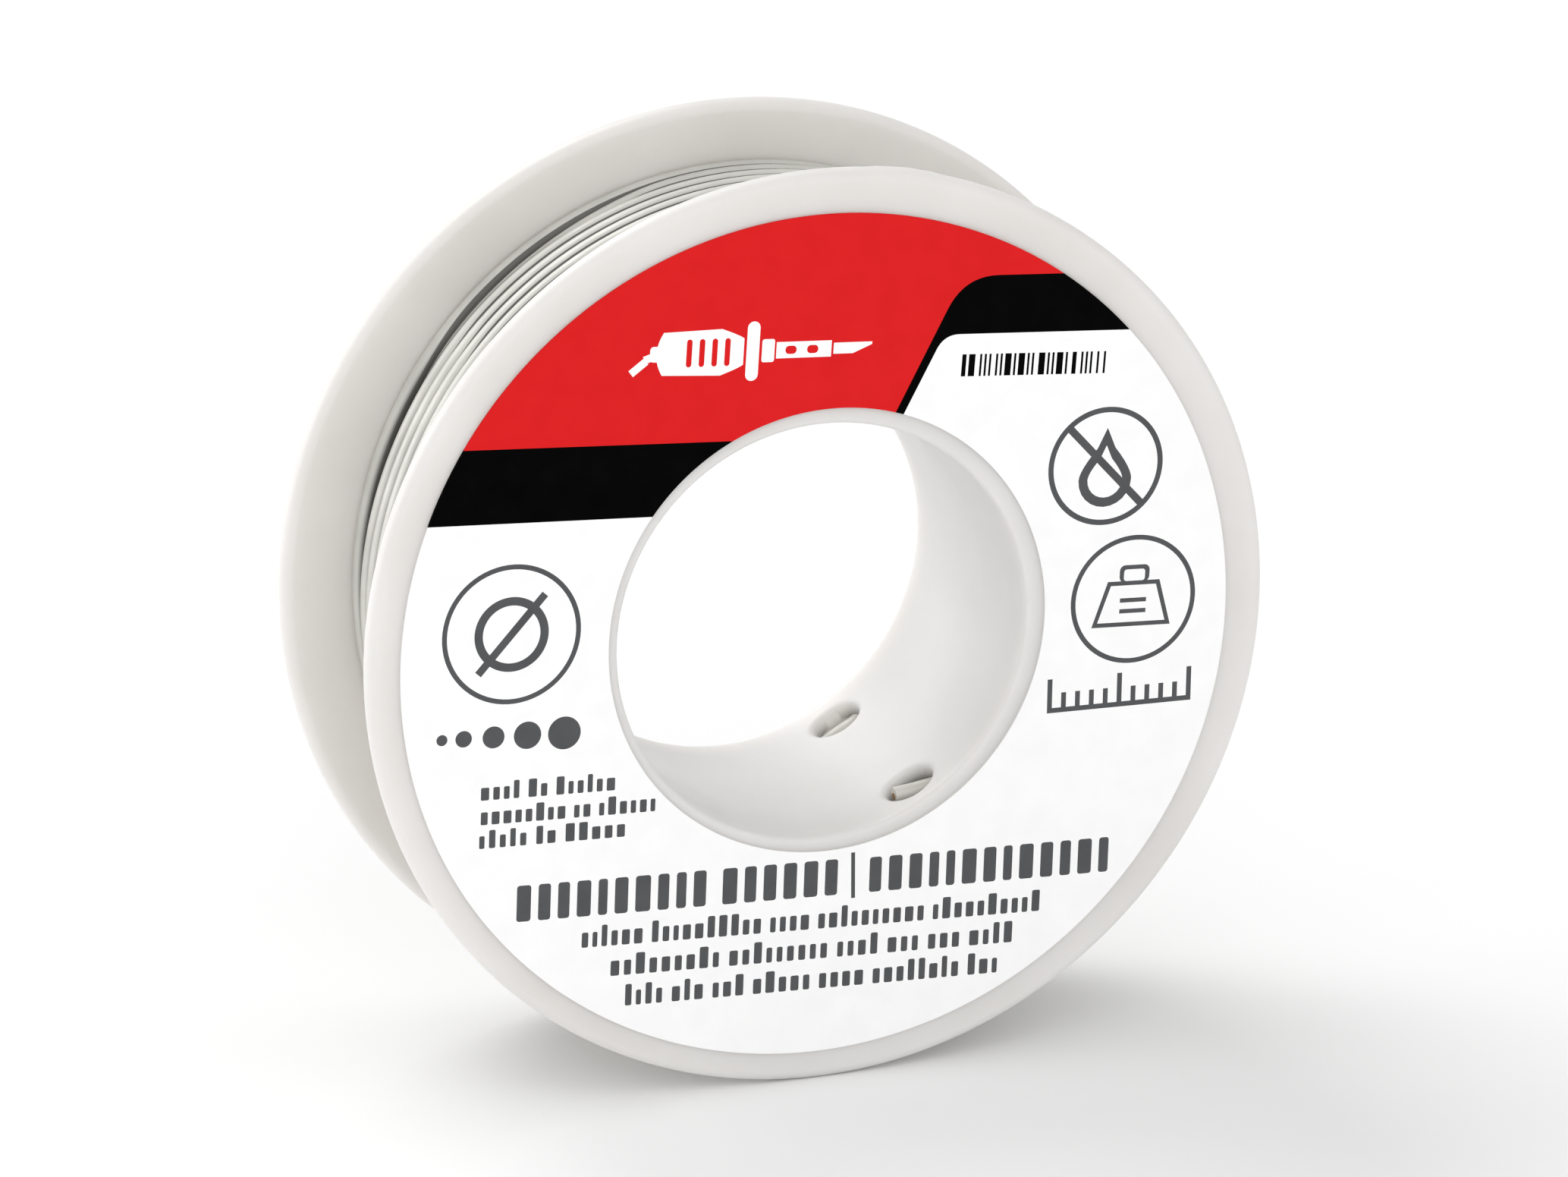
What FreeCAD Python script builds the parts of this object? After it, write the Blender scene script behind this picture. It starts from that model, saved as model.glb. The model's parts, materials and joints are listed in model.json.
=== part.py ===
import FreeCAD, Part
import math
import os
import Sketcher

# A small reel of solder wire, in millimetres. The reel stands on the rims of its two flanges.
# Y runs along the bore, from the labelled front (-Y) to the plain back (+Y). +Z is up.
# The origin is the centre of the bore, half way between the two flange faces.

DRIVING_DIMENSIONS = [
    # the moulded reel
    ("flange_diameter", 50.0),
    ("overall_width", 16.4),
    ("flange_thickness", 1.4),
    ("rim_rounding", 0.6),
    ("bore_diameter", 22.8),
    ("bore_edge_rounding", 0.25),
    ("hub_wall", 0.8),
    # the two threading holes through the hub wall, one beside each flange
    ("threading_hole_diameter", 2.8),
    ("threading_hole_blend", 0.35),
    ("threading_hole_offset", 5.6),
    ("threading_hole_bearing", 149.5),
    # the printed ring label, whose two edges are cut and stuck on a little off centre
    ("label_thickness", 0.1),
    ("label_outer_diameter", 46.1),
    ("label_outer_side", -0.26),
    ("label_outer_up", -0.27),
    ("label_inner_diameter", 24.4),
    ("label_inner_side", 0.26),
    ("label_inner_up", 0.07),
    # the wound wire
    ("wire_diameter", 1.0),
    ("flux_diameter", 0.36),
    ("winding_diameter", 43.0),
    ("turns_per_layer", 13),
    # the start of the wire, pressed into the front threading hole
    ("start_tip_radius", 11.72),
    ("start_tip_lag", 1.05),
    ("start_rise", 0.4),
    ("start_reach", 0.92),
    ("start_tip_inset", 0.3),
    # the free end of the wire, lifting off the winding beside the back flange
    ("free_end_bearing", 292.0),
    ("free_end_offset", 6.1),
    ("free_end_length", 12.0),
]

# Sizes that follow from the driving ones, as the sketches and patterns ask the spreadsheet for them.
HALF_GAP = "Dimensions.overall_width / 2 - Dimensions.flange_thickness"
TURN_PITCH = f"2 * ({HALF_GAP}) / Dimensions.turns_per_layer"


def make_sheet(doc):
    """Put every driving dimension in one spreadsheet, each under its own alias."""
    sheet = doc.addObject("Spreadsheet::Sheet", "Dimensions")
    for row, (alias, value) in enumerate(DRIVING_DIMENSIONS, start=1):
        sheet.set(f"A{row}", alias)
        sheet.set(f"B{row}", str(value))
        sheet.setAlias(f"B{row}", alias)
    doc.recompute()
    return sheet


def origin_plane(body, role):
    """Find one of a body's own origin planes by its role."""
    for feature in body.Origin.OriginFeatures:
        if feature.Role == role:
            return feature
    raise ValueError(f"{body.Name} has no {role}")


def new_body(doc, label):
    """Start a PartDesign body under the name of its sub-part."""
    body = doc.addObject("PartDesign::Body", label)
    body.Label = label
    return body


def new_sketch(body, name, role):
    """Start a sketch flat on one of the body's origin planes."""
    sketch = body.newObject("Sketcher::SketchObject", name)
    sketch.AttachmentSupport = [(origin_plane(body, role), "")]
    sketch.MapMode = "FlatFace"
    return sketch


def dimension(sketch, name, constraint, expression):
    """Add one named sketch dimension and bind it to the spreadsheet."""
    index = sketch.addConstraint(constraint)
    sketch.renameConstraint(index, name)
    sketch.setExpression(f"Constraints.{name}", expression)


def closed_polygon(sketch, corners):
    """Draw straight lines round the corners, joined end to end, each level or upright."""
    first = sketch.GeometryCount
    count = len(corners)
    for i, (x, y) in enumerate(corners):
        next_x, next_y = corners[(i + 1) % count]
        start = FreeCAD.Vector(x, y, 0)
        end = FreeCAD.Vector(next_x, next_y, 0)
        sketch.addGeometry(Part.LineSegment(start, end), False)
    for i, (x, y) in enumerate(corners):
        next_i = (i + 1) % count
        sketch.addConstraint(Sketcher.Constraint("Coincident", first + i, 2, first + next_i, 1))
        kind = "Horizontal" if abs(corners[next_i][1] - y) < 1e-9 else "Vertical"
        sketch.addConstraint(Sketcher.Constraint(kind, first + i))
    return first


def round_edges(body, base, radius_expression, name, wanted):
    """Fillet the edges of the base feature that the wanted test picks."""
    edges = [f"Edge{i}" for i, edge in enumerate(base.Shape.Edges, start=1) if wanted(edge)]
    fillet = body.newObject("PartDesign::Fillet", name)
    fillet.Base = (base, edges)
    fillet.setExpression("Radius", radius_expression)
    return fillet


def is_circle_of_radius(edge, radius):
    """True for a full or partial circle of that radius."""
    return isinstance(edge.Curve, Part.Circle) and abs(edge.Curve.Radius - radius) < 1e-6


def build_spool_body(doc, sheet):
    """The reel: two thin flanges and a hollow hub, moulded as one piece."""
    body = new_body(doc, "spool_body")
    rim = sheet.flange_diameter / 2
    bore = sheet.bore_diameter / 2
    hub = bore + sheet.hub_wall
    face = sheet.overall_width / 2
    inner = face - sheet.flange_thickness

    profile = new_sketch(body, "SpoolProfile", "XY_Plane")
    corners = [
        (bore, -face), (rim, -face), (rim, -inner), (hub, -inner),
        (hub, inner), (rim, inner), (rim, face), (bore, face),
    ]
    closed_polygon(profile, corners)
    origin = -1
    for name, line, expression in [
        ("bore_radius", 0, "Dimensions.bore_diameter / 2"),
        ("front_rim_radius", 1, "Dimensions.flange_diameter / 2"),
        ("hub_radius", 3, "Dimensions.bore_diameter / 2 + Dimensions.hub_wall"),
        ("back_rim_radius", 5, "Dimensions.flange_diameter / 2"),
    ]:
        value = abs(corners[line][0])
        constraint = Sketcher.Constraint("DistanceX", origin, 1, line, 1, value)
        dimension(profile, name, constraint, expression)
    for name, line, expression in [
        ("front_face", 0, "-Dimensions.overall_width / 2"),
        ("front_inner", 2, "-Dimensions.overall_width / 2 + Dimensions.flange_thickness"),
        ("back_inner", 4, "Dimensions.overall_width / 2 - Dimensions.flange_thickness"),
        ("back_face", 6, "Dimensions.overall_width / 2"),
    ]:
        value = corners[line][1]
        constraint = Sketcher.Constraint("DistanceY", origin, 1, line, 1, value)
        dimension(profile, name, constraint, expression)

    revolution = body.newObject("PartDesign::Revolution", "SpoolRevolution")
    revolution.Profile = profile
    revolution.ReferenceAxis = (profile, ["V_Axis"])
    revolution.Angle = 360
    doc.recompute()
    rims = round_edges(
        body, revolution, "Dimensions.rim_rounding", "RimRounding",
        lambda edge: is_circle_of_radius(edge, rim),
    )
    doc.recompute()
    mouths = round_edges(
        body, rims, "Dimensions.bore_edge_rounding", "BoreEdgeRounding",
        lambda edge: is_circle_of_radius(edge, bore),
    )
    doc.recompute()
    solid_volume = mouths.Shape.Volume

    holes = new_sketch(body, "ThreadingHoles", "XY_Plane")
    turn = FreeCAD.Rotation(FreeCAD.Vector(0, 1, 0), sheet.threading_hole_bearing)
    holes.AttachmentOffset = FreeCAD.Placement(FreeCAD.Vector(), turn)
    holes.setExpression("AttachmentOffset.Rotation.Angle", "Dimensions.threading_hole_bearing")
    radius = sheet.threading_hole_diameter / 2
    for index, side in enumerate((-1, 1)):
        centre = FreeCAD.Vector(0, side * sheet.threading_hole_offset, 0)
        holes.addGeometry(Part.Circle(centre, FreeCAD.Vector(0, 0, 1), radius), False)
        where = "front" if side < 0 else "back"
        size = Sketcher.Constraint("Radius", index, radius)
        dimension(holes, f"{where}_hole_radius", size, "Dimensions.threading_hole_diameter / 2")
        holes.addConstraint(Sketcher.Constraint("PointOnObject", index, 3, -2))
        place = Sketcher.Constraint("DistanceY", origin, 1, index, 3, centre.y)
        sign = "-" if side < 0 else ""
        dimension(holes, f"{where}_hole_place", place, f"{sign}Dimensions.threading_hole_offset")
    doc.recompute()
    pocket = body.newObject("PartDesign::Pocket", "ThreadingHolePocket")
    pocket.Profile = holes
    pocket.Type = "Length"
    pocket.Reversed = True
    pocket.setExpression(
        "Length", "Dimensions.bore_diameter / 2 + Dimensions.hub_wall + Dimensions.wire_diameter"
    )
    doc.recompute()
    if pocket.Shape.Volume >= solid_volume:
        raise ValueError("the threading holes cut nothing")

    three_quarters_round = 1.5 * math.pi * radius
    edge_samples = 24
    on_the_bore = 0.01

    def hole_mouth(edge):
        """True for the edge that a threading hole makes in the bore wall."""
        if isinstance(edge.Curve, Part.Circle):
            return False
        if edge.Length < three_quarters_round:
            return False
        reach = [math.hypot(p.x, p.z) for p in edge.discretize(edge_samples)]
        return max(abs(r - bore) for r in reach) < on_the_bore

    round_edges(body, pocket, "Dimensions.threading_hole_blend", "ThreadingHoleBlend", hole_mouth)
    doc.recompute()
    return body


def build_front_label(doc, sheet):
    """The printed ring label on the front flange."""
    body = new_body(doc, "front_label")
    sketch = new_sketch(body, "LabelOutline", "XZ_Plane")
    sketch.setExpression("AttachmentOffset.Base.z", "Dimensions.overall_width / 2")
    normal = FreeCAD.Vector(0, 0, 1)
    for index, edge in enumerate(("outer", "inner")):
        radius = sheet.get(f"label_{edge}_diameter") / 2
        side = sheet.get(f"label_{edge}_side")
        up = sheet.get(f"label_{edge}_up")
        sketch.addGeometry(Part.Circle(FreeCAD.Vector(side, up, 0), normal, radius), False)
        size = Sketcher.Constraint("Radius", index, radius)
        dimension(sketch, f"{edge}_radius", size, f"Dimensions.label_{edge}_diameter / 2")
        across = Sketcher.Constraint("DistanceX", -1, 1, index, 3, side)
        dimension(sketch, f"{edge}_side", across, f"Dimensions.label_{edge}_side")
        upward = Sketcher.Constraint("DistanceY", -1, 1, index, 3, up)
        dimension(sketch, f"{edge}_up", upward, f"Dimensions.label_{edge}_up")
    doc.recompute()
    pad = body.newObject("PartDesign::Pad", "LabelThickness")
    pad.Profile = sketch
    pad.setExpression("Length", "Dimensions.label_thickness")
    doc.recompute()
    return body


def build_wire_winding(doc, sheet):
    """The wound wire: one closed ring with a round-backed ridge for each turn."""
    body = new_body(doc, "wire_winding")
    hub = sheet.bore_diameter / 2 + sheet.hub_wall
    outside = sheet.winding_diameter / 2
    half_gap = sheet.overall_width / 2 - sheet.flange_thickness

    profile = new_sketch(body, "WindingProfile", "XY_Plane")
    corners = [(hub, -half_gap), (outside, -half_gap), (outside, half_gap), (hub, half_gap)]
    closed_polygon(profile, corners)
    for name, line, expression in [
        ("inner_radius", 0, "Dimensions.bore_diameter / 2 + Dimensions.hub_wall"),
        ("outer_radius", 1, "Dimensions.winding_diameter / 2"),
    ]:
        constraint = Sketcher.Constraint("DistanceX", -1, 1, line, 1, corners[line][0])
        dimension(profile, name, constraint, expression)
    for name, line, sign in (("front_side", 0, "-"), ("back_side", 2, "")):
        constraint = Sketcher.Constraint("DistanceY", -1, 1, line, 1, corners[line][1])
        dimension(profile, name, constraint, f"{sign}({HALF_GAP})")
    ring = body.newObject("PartDesign::Revolution", "WindingRing")
    ring.Profile = profile
    ring.ReferenceAxis = (profile, ["V_Axis"])
    ring.Angle = 360
    doc.recompute()
    ring_volume = ring.Shape.Volume

    valley = sketch_valley(body, sheet)
    groove = body.newObject("PartDesign::Groove", "ValleyGroove")
    groove.Profile = valley
    groove.ReferenceAxis = (valley, ["V_Axis"])
    groove.Angle = 360
    doc.recompute()
    if groove.Shape.Volume >= ring_volume:
        raise ValueError("the valley between two turns cuts nothing")
    pattern = body.newObject("PartDesign::LinearPattern", "ValleyPattern")
    pattern.Originals = [groove]
    pattern.Direction = (profile, ["V_Axis"])
    pattern.setExpression("Length", f"{TURN_PITCH} * (Dimensions.turns_per_layer - 2)")
    pattern.setExpression("Occurrences", "Dimensions.turns_per_layer - 1")
    body.Tip = pattern
    doc.recompute()
    return body


def sketch_valley(body, sheet):
    """The first valley between two turns: an arc down the shoulder of each, a narrow floor
    between the arcs, and three lines that close it clear of the winding."""
    half_gap = sheet.overall_width / 2 - sheet.flange_thickness
    shoulder = half_gap / sheet.turns_per_layer
    crest = sheet.winding_diameter / 2
    arc_side = crest - shoulder
    floor = crest - shoulder / 2
    clear = crest + sheet.wire_diameter / 2
    first = shoulder - half_gap
    second = first + 2 * shoulder
    sweep = math.radians(60)
    floor_half = shoulder - shoulder * math.sin(sweep)
    middle = first + shoulder

    valley = new_sketch(body, "ValleyProfile", "XY_Plane")

    def add_arc(along, start_angle):
        circle = Part.Circle(FreeCAD.Vector(arc_side, along, 0), FreeCAD.Vector(0, 0, 1), shoulder)
        valley.addGeometry(Part.ArcOfCircle(circle, start_angle, start_angle + sweep), False)

    def add_line(start, end):
        line = Part.LineSegment(FreeCAD.Vector(*start, 0), FreeCAD.Vector(*end, 0))
        valley.addGeometry(line, False)

    add_arc(first, 0)
    add_line((floor, middle - floor_half), (floor, middle + floor_half))
    add_arc(second, -sweep)
    add_line((crest, second), (clear, second))
    add_line((clear, second), (clear, first))
    add_line((clear, first), (crest, first))
    for index in range(6):
        valley.addConstraint(Sketcher.Constraint("Coincident", index, 2, (index + 1) % 6, 1))
    for kind, index in (("Vertical", 1), ("Horizontal", 3), ("Vertical", 4), ("Horizontal", 5)):
        valley.addConstraint(Sketcher.Constraint(kind, index))
    valley.addConstraint(Sketcher.Constraint("Horizontal", 0, 3, 0, 1))
    valley.addConstraint(Sketcher.Constraint("Horizontal", 2, 3, 2, 2))
    valley.addConstraint(Sketcher.Constraint("Vertical", 0, 3, 2, 3))
    valley.addConstraint(Sketcher.Constraint("Equal", 0, 2))
    for name, constraint, expression in [
        ("shoulder_radius", Sketcher.Constraint("Radius", 0, shoulder), f"{TURN_PITCH} / 2"),
        ("arc_side", Sketcher.Constraint("DistanceX", -1, 1, 0, 3, arc_side),
         f"Dimensions.winding_diameter / 2 - {TURN_PITCH} / 2"),
        ("floor_side", Sketcher.Constraint("DistanceX", -1, 1, 1, 1, floor),
         f"Dimensions.winding_diameter / 2 - {TURN_PITCH} / 4"),
        ("clear_side", Sketcher.Constraint("DistanceX", -1, 1, 4, 1, clear),
         "(Dimensions.winding_diameter + Dimensions.wire_diameter) / 2"),
        ("first_turn", Sketcher.Constraint("DistanceY", -1, 1, 0, 3, first),
         f"{TURN_PITCH} / 2 - ({HALF_GAP})"),
        ("pitch", Sketcher.Constraint("DistanceY", 0, 3, 2, 3, 2 * shoulder), TURN_PITCH),
    ]:
        dimension(valley, name, constraint, expression)
    return valley


def ring_point(radius, bearing, along):
    """The point at that radius from the bore's axis, that bearing from +X towards +Z, and that Y."""
    angle = math.radians(bearing)
    return FreeCAD.Vector(radius * math.cos(angle), along, radius * math.sin(angle))


def add_rod(doc, name, diameter_alias, start, direction, length_expression):
    """A straight round rod from the start point, its sizes bound to the spreadsheet."""
    rod = doc.addObject("Part::Cylinder", name)
    rod.setExpression("Radius", f"Dimensions.{diameter_alias} / 2")
    rod.setExpression("Height", length_expression)
    turn = FreeCAD.Rotation(FreeCAD.Vector(0, 0, 1), direction)
    rod.Placement = FreeCAD.Placement(start, turn)
    return rod


def add_drum(doc, name, radius_expression):
    """A cylinder round the bore's axis, wider than the reel, that trims the wire's ends."""
    drum = doc.addObject("Part::Cylinder", name)
    drum.setExpression("Radius", radius_expression)
    drum.setExpression("Height", "Dimensions.overall_width")
    along_bore = FreeCAD.Rotation(FreeCAD.Vector(0, 0, 1), FreeCAD.Vector(0, 1, 0))
    half_width = doc.Dimensions.overall_width / 2
    drum.Placement = FreeCAD.Placement(FreeCAD.Vector(0, -half_width, 0), along_bore)
    return drum


def boolean(doc, kind, label, base, tool):
    """Cut or common of two objects under the label of its sub-part."""
    result = doc.addObject(f"Part::{kind}", label)
    result.Label = label
    result.Base = base
    result.Tool = tool
    return result


def build_wire_start(doc, sheet):
    """The first stub of wire, which slants through the front threading hole, and its flux core."""
    bearing = 90 - sheet.threading_hole_bearing
    outward = ring_point(1, bearing, 0)
    ahead = ring_point(1, bearing + 90, 0)
    front = FreeCAD.Vector(0, -1, 0)
    inset_centre = front * (sheet.threading_hole_offset - sheet.start_tip_inset)
    tip = inset_centre + outward * sheet.start_tip_radius - ahead * sheet.start_tip_lag
    direction = outward * sheet.start_rise + ahead * sheet.start_reach
    length = "4 * Dimensions.wire_diameter"
    hub = add_drum(doc, "HubDrum", "Dimensions.bore_diameter / 2 + Dimensions.hub_wall")
    core_rod = add_rod(doc, "StartFluxRod", "flux_diameter", tip, direction, length)
    wire_rod = add_rod(doc, "StartWireRod", "wire_diameter", tip, direction, length)
    sleeve = boolean(doc, "Cut", "StartSleeve", wire_rod, core_rod)
    return [
        boolean(doc, "Common", "wire_start_tail", sleeve, hub),
        boolean(doc, "Common", "start_flux_core", core_rod, hub),
    ]


def build_wire_free_end(doc, sheet):
    """The last stretch of wire, which leaves the winding along a tangent, and its flux core."""
    radius = (sheet.winding_diameter - sheet.wire_diameter) / 2
    start = ring_point(radius, sheet.free_end_bearing, sheet.free_end_offset)
    direction = ring_point(1, sheet.free_end_bearing + 90, 0)
    winding = add_drum(doc, "WindingDrum", "Dimensions.winding_diameter / 2")
    length = "Dimensions.free_end_length"
    core_rod = add_rod(doc, "EndFluxRod", "flux_diameter", start, direction, length)
    wire_rod = add_rod(doc, "EndWireRod", "wire_diameter", start, direction, length)
    sleeve = boolean(doc, "Cut", "EndSleeve", wire_rod, core_rod)
    return [
        boolean(doc, "Cut", "wire_free_end", sleeve, winding),
        boolean(doc, "Cut", "end_flux_core", core_rod, winding),
    ]


def main():
    """Build the document, check every object and write one STEP file per sub-part."""
    doc = FreeCAD.newDocument("solder_reel")
    sheet = make_sheet(doc)
    sub_parts = [
        build_spool_body(doc, sheet),
        build_front_label(doc, sheet),
        build_wire_winding(doc, sheet),
        *build_wire_start(doc, sheet),
        *build_wire_free_end(doc, sheet),
    ]
    doc.recompute()
    for item in doc.Objects:
        if "Invalid" in item.State or "Error" in item.State:
            raise ValueError(f"{item.Name} failed: {item.State}")
    os.makedirs("parts", exist_ok=True)
    for part in sub_parts:
        shape = part.Shape
        if shape.isNull() or not shape.isValid():
            raise ValueError(f"{part.Label} has no valid shape")
        shape.exportStep(os.path.join("parts", f"{part.Label}.step"))
        box = shape.BoundBox
        print(part.Label, "solids", len(shape.Solids), "volume", round(shape.Volume, 2),
              "box", [round(v, 2) for v in (box.XMin, box.YMin, box.ZMin, box.XMax, box.YMax, box.ZMax)])


main()
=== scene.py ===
import json
import math
import random

import bmesh
import bpy
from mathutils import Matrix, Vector
from mathutils.geometry import delaunay_2d_cdt


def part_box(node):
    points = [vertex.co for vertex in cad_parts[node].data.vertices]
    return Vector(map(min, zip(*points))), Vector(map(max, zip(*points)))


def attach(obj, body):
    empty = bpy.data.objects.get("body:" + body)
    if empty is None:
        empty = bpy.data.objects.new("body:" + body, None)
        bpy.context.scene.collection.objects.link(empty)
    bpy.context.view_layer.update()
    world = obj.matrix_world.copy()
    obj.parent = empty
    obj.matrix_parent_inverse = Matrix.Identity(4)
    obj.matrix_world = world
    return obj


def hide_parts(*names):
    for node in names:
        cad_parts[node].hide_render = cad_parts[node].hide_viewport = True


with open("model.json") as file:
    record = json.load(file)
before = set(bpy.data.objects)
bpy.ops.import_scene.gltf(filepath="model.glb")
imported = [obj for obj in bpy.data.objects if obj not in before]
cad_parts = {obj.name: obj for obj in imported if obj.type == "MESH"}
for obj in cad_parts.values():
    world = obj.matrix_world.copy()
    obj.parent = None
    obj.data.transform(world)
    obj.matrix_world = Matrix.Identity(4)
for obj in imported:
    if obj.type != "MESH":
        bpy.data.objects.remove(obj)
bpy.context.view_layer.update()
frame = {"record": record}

# Everything is in metres, in the CAD's frame: Y along the bore, the label at -Y, +Z up.
# Bearings are in degrees round the bore, from +X towards +Z.
MM = 0.001

SPOOL_LOW, SPOOL_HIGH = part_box("spool_body")
WINDING_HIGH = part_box("wire_winding")[1]
LABEL_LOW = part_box("front_label")[0]
BORE = next(mount for mount in frame["record"]["mounts"] if mount["name"] == "bore")

RIM_RADIUS = SPOOL_HIGH.x
FACE = SPOOL_HIGH.y
HALF_GAP = WINDING_HIGH.y
WINDING_RADIUS = WINDING_HIGH.x
BORE_RADIUS = BORE["dims"]["r_mm"] * MM
HUB_WALL = 0.8 * MM
HUB_RADIUS = BORE_RADIUS + HUB_WALL
LABEL_FACE = LABEL_LOW.y
WIRE = 1.0 * MM

# Both threading holes go through the hub at one bearing, this far each side of the middle.
HOLE_BEARING = -59.5
HOLE_OFFSET = 5.6 * MM


def ring_point(radius, bearing, along):
    """The point at that radius from the bore's axis, that bearing, and that Y."""
    angle = math.radians(bearing)
    return Vector((radius * math.cos(angle), along, radius * math.sin(angle)))


def mix(start, end, share):
    """The value that share of the way from start to end."""
    return start + (end - start) * share


def ease(share):
    """From 0 to 1, slow at both ends."""
    share = min(1.0, max(0.0, share))
    return share * share * (3 - 2 * share)


def add_object(name, data):
    """A new object in the scene."""
    piece = bpy.data.objects.new(name, data)
    bpy.context.scene.collection.objects.link(piece)
    return piece


def add_mesh(name, mesh, materials):
    """A new object made from a finished bmesh, which is freed."""
    data = bpy.data.meshes.new(name)
    mesh.to_mesh(data)
    mesh.free()
    for material in materials:
        data.materials.append(material)
    return add_object(name, data)


def delete_loose(mesh):
    """Take away the vertices that no face uses."""
    loose = [vertex for vertex in mesh.verts if not vertex.link_faces]
    bmesh.ops.delete(mesh, geom=loose, context="VERTS")


def face_along(item, direction):
    """Turn a camera or a lamp to look along a direction, upright."""
    item.rotation_mode = "QUATERNION"
    item.rotation_quaternion = direction.to_track_quat("-Z", "Y")


# ---------------------------------------------------------------- camera

CAMERA_PLACE = (-0.16147, -0.44747, 0.15315)
CAMERA_AZIMUTH, CAMERA_ELEVATION = -19.93, 17.85
CAMERA_LENS = 215.45


def make_camera():
    """The photo's view: from the front, a little to the left and above, through a long lens."""
    azimuth, elevation = math.radians(CAMERA_AZIMUTH), math.radians(CAMERA_ELEVATION)
    back = Vector((
        math.sin(azimuth) * math.cos(elevation),
        -math.cos(azimuth) * math.cos(elevation),
        math.sin(elevation),
    ))
    data = bpy.data.cameras.new("camera")
    data.sensor_fit = "HORIZONTAL"
    data.sensor_width = 36
    data.lens = CAMERA_LENS
    data.clip_start = 0.02
    data.clip_end = 20
    camera = add_object("camera", data)
    camera.location = CAMERA_PLACE
    face_along(camera, -back)
    bpy.context.scene.camera = camera


make_camera()

# ---------------------------------------------------------------- the wire

LAYERS = 9
SLOTS = 13
SLOT_PITCH = (2 * HALF_GAP - WIRE) / (SLOTS - 1)
FIRST_LAYER = HUB_RADIUS + WIRE / 2
TOP_LAYER = WINDING_RADIUS - WIRE / 2
LAYER_STEP = (TOP_LAYER - FIRST_LAYER) / (LAYERS - 1)

# The slot at the back flange was left empty in the two outer layers. The last turn but one
# sinks part of the way into it, and the last turn passes over that one.
SUNK_LAYER = LAYERS - 1.65
# A sinking turn drops faster than it moves over. This power of its share says how much.
SINK_POWER = 0.4
# The bearings between which the wire moves over to its next turn: in every turn, where it
# sinks, and where it climbs out again.
MOVE_OVER, SINK, CLIMB = (150, 200), (103, 172), (20, 80)

# The winding grows a little off centre and oval from its first layer to its top one, where it
# stands out by this much, and each turn wanders to its sides.
OFF_CENTRE, OFF_CENTRE_BEARING = 0.30 * MM, 75
OVAL, OVAL_BEARING = 0.12 * MM, 80
WANDER = 0.02 * MM

# The degrees from one control point of the spline to the next, in hidden turns and in turns
# that show.
INNER_STEP, OUTER_STEP = 30, 6
# The winding begins this many degrees past the threading hole, and its last turn ends this
# many short of the free end, so that the curve can ease into both.
START_GAP, END_GAP = 30, 12

# The start's tip in the bore, across the front hole: its radius and how far it lies back from
# the hole's middle, both in millimetres, and its Y.
TIP_RADIUS, TIP_BACK = 11.72, 1.05
TIP_ALONG = 0.3 * MM - HOLE_OFFSET
FREE_END_BEARING = 292
FREE_END_ALONG = 6.1 * MM
FLUX_CORES = ("start_flux_core", "end_flux_core")


def winding_turns():
    """The layer and the slot across the reel of each turn, in the order that they were wound."""
    turns = []
    for layer in range(LAYERS):
        slots = list(range(SLOTS if layer < LAYERS - 2 else SLOTS - 1))
        if layer % 2:
            slots.reverse()
        turns += [(layer, slot) for slot in slots]
    return turns + [(SUNK_LAYER, SLOTS - 1), (LAYERS - 1, SLOTS - 1)]


def turn_changes(count):
    """The total bearings between which the wire moves over from each turn to the next."""
    moves = [MOVE_OVER] * (count - 3) + [SINK, CLIMB]
    return [(begin + 360 * i, end + 360 * i) for i, (begin, end) in enumerate(moves)]


def out_of_round(bearing):
    """How far the top layer stands out or in at a bearing."""
    shifted = OFF_CENTRE * math.cos(math.radians(bearing - OFF_CENTRE_BEARING))
    oval = OVAL * math.cos(math.radians(2 * (bearing - OVAL_BEARING)))
    return shifted + oval


def wander(bearing):
    """How far a turn strays sideways from its slot."""
    quick = math.sin(math.radians(bearing * 2.7))
    slow = math.sin(math.radians(bearing * 0.31))
    return WANDER * quick * slow


def wire_place(bearing, turns, changes):
    """The radius and the Y of the wire's centre at a total bearing."""
    index = sum(begin <= bearing for begin, _ in changes)
    layer, slot = turns[index]
    if index:
        begin, end = changes[index - 1]
        share = ease((bearing - begin) / (end - begin))
        last_layer, last_slot = turns[index - 1]
        layer = mix(last_layer, layer, share ** SINK_POWER if layer < last_layer else share)
        slot = mix(last_slot, slot, share)
    radius = FIRST_LAYER + layer * LAYER_STEP + out_of_round(bearing) * layer / (LAYERS - 1)
    along = slot * SLOT_PITCH + WIRE / 2 - HALF_GAP
    if 0 < slot < SLOTS - 1:
        along += wander(bearing)
    return radius, along


def start_points():
    """The start's tip in the bore, and the listed points that lead the wire from there through the
    front threading hole and down onto the hub."""
    outward = ring_point(1, HOLE_BEARING, 0)
    ahead = ring_point(1, HOLE_BEARING + 90, 0)
    tip = Vector((0, TIP_ALONG, 0)) + outward * TIP_RADIUS * MM - ahead * TIP_BACK * MM
    slant = (outward * 0.4 + ahead * 0.92).normalized()
    points = [tip + slant * distance * MM for distance in (0.05, 0.9, 1.9)]
    points.append(ring_point(FIRST_LAYER + 0.08 * MM, HOLE_BEARING + 7, -5.35 * MM))
    points.append(ring_point(FIRST_LAYER, HOLE_BEARING + 15, -5.75 * MM))
    return tip, points


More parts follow.
